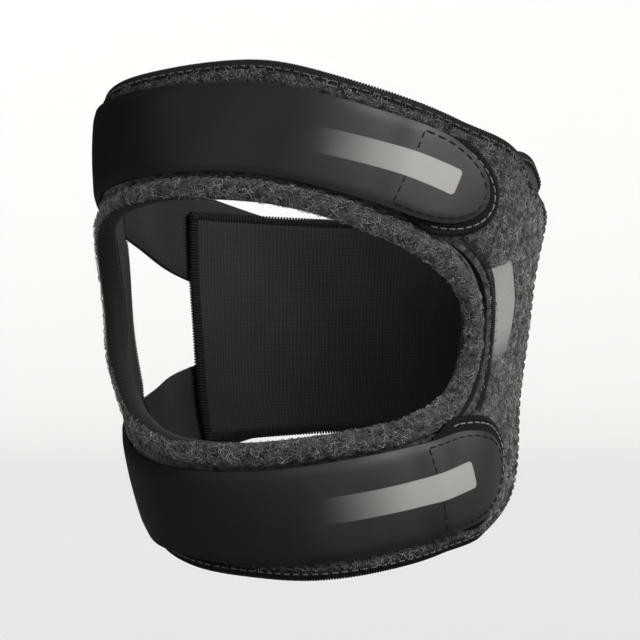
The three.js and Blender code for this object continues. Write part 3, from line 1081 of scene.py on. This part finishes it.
# A thread round a sewn edge: its share of the seam's depth, its share of the way past the edge, its level
# in the wall from -1 at the lining to 1 at the face, and how far ahead in pitches
WrapPoint = namedtuple("WrapPoint", "share past level lead")
EDGE_WRAP = [
    WrapPoint(1.0, 0, 0.8, -0.35),
    WrapPoint(0.85, 0, 1.14, -0.3),
    WrapPoint(0.45, 0, 1.2, -0.1),
    WrapPoint(0, 0.02, 1.1, 0.05),
    WrapPoint(0, 1, 0.55, 0.1),
    WrapPoint(0, 1, -0.55, 0.15),
    WrapPoint(0, 0.02, -1.1, 0.2),
    WrapPoint(0.6, 0, -1.14, 0.35),
    WrapPoint(0.8, 0, -0.8, 0.4),
]

# A running stitch: how far through the pitch, and how far up from the face, in millimetres
DashPoint = namedtuple("DashPoint", "share rise")
DASH = [
    DashPoint(0.08, -0.2),
    DashPoint(0.2, 0.1),
    DashPoint(0.47, 0.17),
    DashPoint(0.74, 0.1),
    DashPoint(0.86, -0.2),
]

# A satin stitch: its share of the way across the seam, how far ahead in pitches, and how far up from the
# face, in millimetres
SatinPoint = namedtuple("SatinPoint", "across lead rise")
SATIN = [
    SatinPoint(-0.5, -0.4, -0.3),
    SatinPoint(-0.42, -0.3, 0.06),
    SatinPoint(0, 0, 0.2),
    SatinPoint(0.42, 0.3, 0.06),
    SatinPoint(0.5, 0.4, -0.3),
]


def stitch_places(line, spacing):
    """Evenly spaced starts of stitches along a line, and the pitch that fits it."""
    length = distances(line)[-1]
    count = max(round(length / spacing), 1)
    return np.arange(count) * length / count, length / count


def running(line, starts):
    """Directions along a line."""
    return unit(at_places(line, starts + PROBE) - at_places(line, np.maximum(starts - PROBE, 0)))


def lift_at(middle, flat):
    """Lift of the middle of a sheet's wall, for rows of flat points."""
    return middle(flat.reshape(-1, 2)).reshape(flat.shape[:-1])


def edge_wraps(line, middle, thickness, depth):
    """Threads that wrap a clockwise edge of a sheet, from its face round to its lining."""
    starts, pitch = stitch_places(line, OVERLOCK_PITCH)
    run = running(line, starts)
    inset = column(EDGE_WRAP, "share") * depth - column(EDGE_WRAP, "past") * OVERLOCK_PAST
    lead = column(EDGE_WRAP, "lead")[:, None] * pitch
    flat = at_places(line, starts)[:, None] - out_of(run)[:, None] * inset[:, None] + run[:, None] * lead
    half = thickness / 2 * wall_share(inset)
    lift = lift_at(middle, flat) + column(EDGE_WRAP, "level") * half
    paths = wrap(flat, lift)
    across = unit(wrap(flat + run[:, None], lift) - paths)
    return paths, across


def edge_dashes(line, middle, thickness, inset, rise):
    """Running stitches along a clockwise line on a sheet, an inset in from it and a rise above the face."""
    starts, pitch = stitch_places(line, STITCH_PITCH)
    places = starts[:, None] + column(DASH, "share") * pitch
    flat = at_places(line, places.ravel()).reshape(*places.shape, 2)
    flat = flat - out_of(running(line, starts))[:, None] * inset
    face = thickness / 2 * wall_share(np.array(abs(inset))) + rise
    lift = lift_at(middle, flat) + face + column(DASH, "rise")
    return wrap(flat, lift), outward_at(flat, lift)


def satin_stitches(line, middle, thickness):
    """Close stitches across a clockwise line on a sheet's face."""
    starts, pitch = stitch_places(line, SATIN_PITCH)
    run = running(line, starts)
    aside = column(SATIN, "across")[:, None] * SATIN_WIDTH
    lead = column(SATIN, "lead")[:, None] * pitch
    flat = at_places(line, starts)[:, None] + out_of(run)[:, None] * aside + run[:, None] * lead
    lift = lift_at(middle, flat) + thickness / 2 + column(SATIN, "rise")
    return wrap(flat, lift), outward_at(flat, lift)


def strap_dashes(strap, corners):
    """Running stitches on a strap's face through corners given along it and above its middle line."""
    line = np.array(corners, float)
    starts, pitch = stitch_places(line, STITCH_PITCH)
    places = starts[:, None] + column(DASH, "share") * pitch
    spots = at_places(line, places.ravel()).reshape(*places.shape, 2)
    flat, lift = strap_middle(strap, spots[..., 0], spots[..., 1])
    lift = lift + STRAP_THICKNESS / 2 * wall_share(np.array(TIP_STITCH_INSET)) + column(DASH, "rise")
    return wrap(flat, lift), outward_at(flat, lift)


def tip_outline(strap, flange, start, inset):
    """Clockwise line round a strip's tip in its own along and reach, an inset in from its edge."""
    u = np.linspace(0, 1, TAB_COLUMNS + TIP_COLUMNS + 1)
    along, above, _ = strip_places(strap, start, flange, TAB_COLUMNS, u, np.ones(len(u)))
    _, below, _ = strip_places(strap, start, flange, TAB_COLUMNS, u, np.zeros(len(u)))
    half = (above - below) / 2
    drawn = 1 - inset / half[0]
    middle = (above + below) / 2
    tip = strap.shoulder + (along - strap.shoulder) * (1 - inset / (TIP_LENGTH + flange.end))
    along = np.where(along > strap.shoulder, tip, along)
    upper = np.stack([along, middle + half * drawn], axis=-1)
    lower = np.stack([along, middle - half * drawn], axis=-1)
    return np.concatenate([upper, lower[::-1]])


def sewn_piece(name, groups, radius, thread):
    """A piece of sewing, from groups of short threads."""
    return add_piece(name, thread_mesh(name, groups, radius, THREAD_SIDES), [thread])


def tip_stitches(strap, stripe, length, name):
    """Stitched contour of a strap's tip, with a line across its start that stops at the stripe."""
    contour = tip_outline(strap, NO_FLANGE, strap.length - length, TIP_STITCH_INSET)
    across = contour[0, 0]
    above = [contour[0], (across, stripe.y + stripe.width / 2)]
    below = [contour[-1], (across, stripe.y - stripe.width / 2)]
    groups = [strap_dashes(strap, line) for line in (contour, above, below)]
    return sewn_piece(name, groups, THREAD_RADIUS, black_thread)


def tab_stitches(strap, name):
    """Overlock round the edge of a tab, and a grey seam inside it where the tab shows past its strap."""
    edge = strap.flat(*tip_outline(strap, strap.tab, strap.tab_start, 0).T)
    seam = strap.flat(*tip_outline(strap, strap.tab, strap.tab_start, TAB_SEAM_INSET).T)
    shown = edge[strap.gap(seam, NO_FLANGE) > TAB_SEAM_SHOWN]
    wraps = edge_wraps(edge, tab_middle, TAB_THICKNESS, TAB_OVERLOCK_DEPTH)
    dashes = edge_dashes(shown, tab_middle, TAB_THICKNESS, TAB_SEAM_INSET, 0)
    return [
        sewn_piece(name + "_overlock", [wraps], THREAD_RADIUS, black_thread),
        sewn_piece(name + "_seam", [dashes], THREAD_RADIUS, grey_thread),
    ]


def end_stitches(strap, name):
    """Box stitch with a cross that sews a strap's end to the band."""
    near = BOX_STITCH_START
    far = BOX_STITCH_START + BOX_STITCH_LENGTH
    half = float(strap.half_width(near)) - BOX_STITCH_INSET
    box = [(near, half), (far, half), (far, -half), (near, -half), (near, half)]
    rising = [(near, -half), (far, half)]
    falling = [(near, half), (far, -half)]
    groups = [strap_dashes(strap, line) for line in (box, rising, falling)]
    return sewn_piece(name, groups, THREAD_RADIUS, grey_thread)


def band_outline():
    """Clockwise edge of the band on the flat sheet."""
    turn = np.linspace(BAND[0].turn, BAND[-1].turn, OUTLINE_POINTS)
    top = np.stack([turn * MM_PER_DEGREE, curve_through(BAND, "turn", turn, "top")], axis=-1)
    bottom = np.stack([turn * MM_PER_DEGREE, curve_through(BAND, "turn", turn, "bottom")], axis=-1)
    return np.concatenate([top, bottom[::-1]])


def sheet_overlock(name, line, middle, thickness):
    """Overlocked edge of a sheet: bulky threads round the edge, and a needle line over them."""
    wraps = edge_wraps(line, middle, thickness, OVERLOCK_DEPTH)
    dashes = edge_dashes(line, middle, thickness, NEEDLE_INSET, NEEDLE_RISE)
    return [
        sewn_piece(name + "_overlock", [wraps], OVERLOCK_RADIUS, black_thread),
        sewn_piece(name + "_needle_line", [dashes], THREAD_RADIUS, charcoal_thread),
    ]


def window_satin():
    """Satin seam beside the groove, from one tab to the other."""
    line = hole_edge + window_out * FURROW_PLACE
    clear = np.minimum(top_line.gap(line, TOP_TAB), bottom_line.gap(line, BOTTOM_TAB)) > SATIN_WIDTH / 2
    stitches = satin_stitches(line[clear & (groove > IN_GROOVE)], panel_middle, PANEL_THICKNESS)
    return sewn_piece("window_satin", [stitches], SATIN_RADIUS, black_thread)


panel_sewing = sheet_overlock("panel", looped(panel_cut), panel_middle, PANEL_THICKNESS)
band_sewing = sheet_overlock("band", looped(band_outline()), band_middle, BAND_THICKNESS)
panel_sewing.append(window_satin())
top_sewing = [
    tip_stitches(top_line, TOP_STRIPE, TOP_TIP_STITCHED, "top_tip_stitches"),
    *tab_stitches(top_line, "top_tab"),
    end_stitches(top_line, "top_end_stitches"),
]
bottom_sewing = [
    tip_stitches(bottom_line, BOTTOM_STRIPE, BOTTOM_TIP_STITCHED, "bottom_tip_stitches"),
    *tab_stitches(bottom_line, "bottom_tab"),
    end_stitches(bottom_line, "bottom_end_stitches"),
]


# Loop pile

PILE_SEED = 7
pile_random = np.random.default_rng(PILE_SEED)


def scattered(low, high, pitch):
    """Flat points on a grid of a pitch, each moved a little."""
    x, y = np.meshgrid(np.arange(low[0], high[0], pitch), np.arange(low[1], high[1], pitch))
    grid = np.stack([x.ravel(), y.ravel()], axis=-1)
    return grid + pile_random.uniform(-pitch / 2, pitch / 2, grid.shape)


def curl_piece(name, base, out):
    """Curls of loop yarn on points of a surface, lying every way, longer and paler where they clump."""
    count = len(base)
    clump = np.array([noise.noise(Vector(point) * per_metre(CLUMP_SIZE)) for point in base])
    level = unit(np.cross(out, pile_random.normal(size=out.shape)))
    aside = np.cross(out, level)
    share = np.linspace(0, 1, CURL_POINTS)
    length = pile_random.uniform(*CURL_LENGTHS, count)[:, None] * MM
    height = (pile_random.uniform(*CURL_HEIGHTS, count) * (1 + CLUMP_RISE * clump))[:, None] * MM
    sway = pile_random.uniform(-CURL_SWAY, CURL_SWAY, count)[:, None] * MM
    x = (share - 0.5) * length
    y = np.sin(2 * math.pi * share) * sway
    z = np.sin(math.pi * share) * height - CURL_SINK * MM
    paths = base[:, None] + level[:, None] * x[..., None] + aside[:, None] * y[..., None]
    paths = paths + out[:, None] * z[..., None]
    mesh = thread_mesh(name, [(paths, aside[:, None])], CURL_RADIUS, CURL_SIDES)
    chance = pile_random.normal(0, SHADE_SPREAD, count)
    shade = np.clip(SHADE_MEAN + SHADE_CLUMP * clump + chance, 0, 1)
    attribute = mesh.attributes.new("shade", "FLOAT", "POINT")
    corners = len(mesh.vertices) // count
    attribute.data.foreach_set("value", np.repeat(shade, corners).astype(np.float32))
    return add_piece(name, mesh, [pile_yarn])


def panel_pile():
    """Pile on the panel's face, clear of straps, tabs, seams and stripe, in an upper and a lower piece."""
    flat = scattered(panel_cut.min(axis=0), panel_cut.max(axis=0), PILE_PITCH)
    spoke = np.linalg.norm(flat - centre, axis=1)
    from_hole = spoke - reach_of(hole_edge, flat)
    to_cut = reach_of(panel_cut, flat) - spoke
    keep = (from_hole > PILE_MARGIN) & (to_cut > PILE_SEAM_MARGIN)
    keep &= (np.abs(from_hole - FURROW_PLACE) > FURROW_WIDTH) | (beside_groove(flat) < IN_GROOVE)
    keep &= pile_random.random(len(flat)) > smooth_step(stripe_cover(flat, SIDE_STRIPE), 0, STRIPE_BARE)
    flat = flat[keep]
    edge = np.minimum(from_hole, to_cut)[keep]
    bare = np.minimum(top_line.gap(flat, TOP_TAB), bottom_line.gap(flat, BOTTOM_TAB)) > PILE_MARGIN
    flat = flat[bare]
    lift = panel_middle(flat) + PANEL_THICKNESS / 2 * wall_share(edge[bare])
    base = wrap(flat, lift)
    out = outward_at(flat, lift)
    upper = flat[:, 1] > 0
    return [
        curl_piece("upper_loop_pile", base[upper], out[upper]),
        curl_piece("lower_loop_pile", base[~upper], out[~upper]),
    ]


def rim_pile():
    """Pile on the rim's loop cloth."""
    low = (0, RIM_CLOTH_RIGHT * RIM_RADIUS)
    high = (rim_length, RIM_CLOTH_TO * RIM_RADIUS)
    spots = scattered(low, high, PILE_PITCH)
    u = np.mod(spots[:, 0] / rim_length, 1)
    angle = spots[:, 1] / RIM_RADIUS
    on_cloth = angle > cloth_from(u)
    u = u[on_cloth]
    angle = angle[on_cloth]
    base = wrap(*rim_surface(u, angle))
    core = np.full(len(u), RIM_RADIUS)
    out = unit(base - wrap(off_window(u, core), core))
    return curl_piece("rim_loop_pile", base, out)


panel_curls = panel_pile()
rim_curls = rim_pile()


# The band's cut outline on the flat sheet

band_line = band_outline()


# Stage, light and camera

CAMERA_AZIMUTH = 18
CAMERA_DISTANCE = 4.0
FRAME_WIDTH = 0.19
SENSOR_WIDTH = 36
FLOOR_HEIGHT = -0.1
FLOOR_RADIUS = 7.0
WALL_CURVE = 2.0
WALL_HEIGHT = 4.0
WALL_STEPS = 8
FLOOR_STEPS = 96
CARD_STEPS = 24
SUN_DISTANCE = 2
WORLD_STRENGTH = 0.36

# Soft suns, with angles in degrees: a broad key from the right and above, and a weaker one for the band
Sun = namedtuple("Sun", "name energy spread azimuth elevation")
SUNS = [Sun("key", 3.3, 35, 58, 38), Sun("back", 0.9, 40, 186, 30)]

# Cards round the object: the azimuths of their ends, and the reach and height of their lower and upper
# edges
Card = namedtuple("Card", "first last low high")
DARK_SIDE = Card(-178, -50, (0.7, -0.09), (0.7, 0.7))
GREY_FLOOR = Card(-178, 60, (0.02, -0.096), (0.9, -0.096))
NEAR_FLOOR = Card(60, 110, (0.02, -0.096), (0.36, -0.096))
FRONT_CARD = Card(0, 60, (0.9, -0.05), (0.9, 0.35))
SIDE_CARD = Card(60, 101, (0.7, -0.02), (0.6, 0.7))


def round_object(azimuth, elevation, distance):
    """Point round the object, at an azimuth from the front and an elevation in degrees."""
    a = math.radians(azimuth)
    e = math.radians(elevation)
    return Vector((math.sin(a) * math.cos(e), -math.cos(a) * math.cos(e), math.sin(e))) * distance


def pale_floor():
    """Pale floor that curves up into a wall all round."""
    bowl = bmesh.new()
    profile = [(0.0, 0.0), (FLOOR_RADIUS, 0.0)]
    for step in range(1, WALL_STEPS + 1):
        angle = math.radians(90 * step / WALL_STEPS)
        profile.append((FLOOR_RADIUS + WALL_CURVE * math.sin(angle), WALL_CURVE * (1 - math.cos(angle))))
    profile.append((FLOOR_RADIUS + WALL_CURVE, WALL_HEIGHT))
    verts = [bowl.verts.new((x, 0, z + FLOOR_HEIGHT)) for x, z in profile]
    edges = [bowl.edges.new(pair) for pair in zip(verts, verts[1:])]
    bmesh.ops.spin(
        bowl,
        geom=[*verts, *edges],
        cent=(0, 0, 0),
        axis=(0, 0, 1),
        angle=2 * math.pi,
        steps=FLOOR_STEPS,
        use_merge=True,
    )
    bmesh.ops.remove_doubles(bowl, verts=bowl.verts, dist=MERGE_DISTANCE)
    bmesh.ops.recalc_face_normals(bowl, faces=bowl.faces)
    for face in bowl.faces:
        face.smooth = True
    floor = bpy.data.objects.new("pale_floor", to_mesh("pale_floor", bowl))
    paint = {"Roughness": 1.0, "Specular IOR Level": 0.0, "Base Color": linear("#dddcda")}
    material, _, _ = new_material("matt painted floor", paint)
    floor.data.materials.append(material)
    bpy.context.scene.collection.objects.link(floor)


def add_sun(sun):
    """A soft light that faces the object and stays out of the picture."""
    lamp = bpy.data.lights.new(sun.name, "SUN")
    lamp.energy = sun.energy
    lamp.angle = math.radians(sun.spread)
    place = round_object(sun.azimuth, sun.elevation, SUN_DISTANCE)
    light = bpy.data.objects.new(sun.name, lamp)
    light.location = place
    light.rotation_mode = "QUATERNION"
    light.rotation_quaternion = (-place).to_track_quat("-Z", "Y")
    light.visible_camera = False
    bpy.context.scene.collection.objects.link(light)


def gloss_card(name, material, card):
    """Card bent round part of the object that only shows in its gloss."""
    sheet = bmesh.new()
    bmesh.ops.create_grid(sheet, x_segments=CARD_STEPS, y_segments=1, size=0.5)
    for vert in sheet.verts:
        azimuth = card.first + (card.last - card.first) * (vert.co.x + 0.5)
        reach, height = card.low if vert.co.y < 0 else card.high
        vert.co = round_object(azimuth, 0, reach) + Vector((0, 0, height))
    piece = bpy.data.objects.new(name, to_mesh(name, sheet))
    piece.data.materials.append(material)
    piece.visible_camera = False
    piece.visible_diffuse = False
    piece.visible_shadow = False
    bpy.context.scene.collection.objects.link(piece)


def gloss_cards():
    """Dark cards for the left and the foot of the straps, and lit ones for their sheen on the right."""
    dark, _, _ = new_material("matt black card", {"Roughness": 1.0, "Base Color": linear("#0c0c0c")})
    gloss_card("dark_side_card", dark, DARK_SIDE)
    grey, _, _ = new_material("matt grey card", {"Roughness": 1.0, "Base Color": linear("#585858")})
    gloss_card("grey_floor_card", grey, GREY_FLOOR)
    gloss_card("near_floor_card", grey, NEAR_FLOOR)
    glow = {"Emission Color": linear("#ffffff"), "Emission Strength": 1.7}
    lit, _, _ = new_material("lit white card", glow)
    gloss_card("front_card", lit, FRONT_CARD)
    bright, _, _ = new_material("bright white card", {**glow, "Emission Strength": 3.7})
    gloss_card("side_card", bright, SIDE_CARD)


def camera():
    """Long lens on the brace, level with it and a little to the right of its front."""
    lens = bpy.data.cameras.new("camera")
    lens.sensor_width = SENSOR_WIDTH
    lens.lens = SENSOR_WIDTH * CAMERA_DISTANCE / FRAME_WIDTH
    seat = bpy.data.objects.new("camera", lens)
    low, high = cad_box
    back = round_object(CAMERA_AZIMUTH, 0, 1)
    seat.location = (low + high) / 2 + back * CAMERA_DISTANCE
    seat.rotation_mode = "QUATERNION"
    seat.rotation_quaternion = (-back).to_track_quat("-Z", "Y")
    bpy.context.scene.collection.objects.link(seat)
    bpy.context.scene.camera = seat


def pale_world():
    """Even pale light from all round."""
    world = bpy.data.worlds.new("pale studio")
    world.use_nodes = True
    sky = world.node_tree.nodes["Background"]
    sky.inputs["Color"].default_value = linear("#f2f3f5")
    sky.inputs["Strength"].default_value = WORLD_STRENGTH
    bpy.context.scene.world = world


pale_floor()
for sun in SUNS:
    add_sun(sun)
gloss_cards()
pale_world()
camera()
bpy.context.scene.view_settings.view_transform = "Standard"
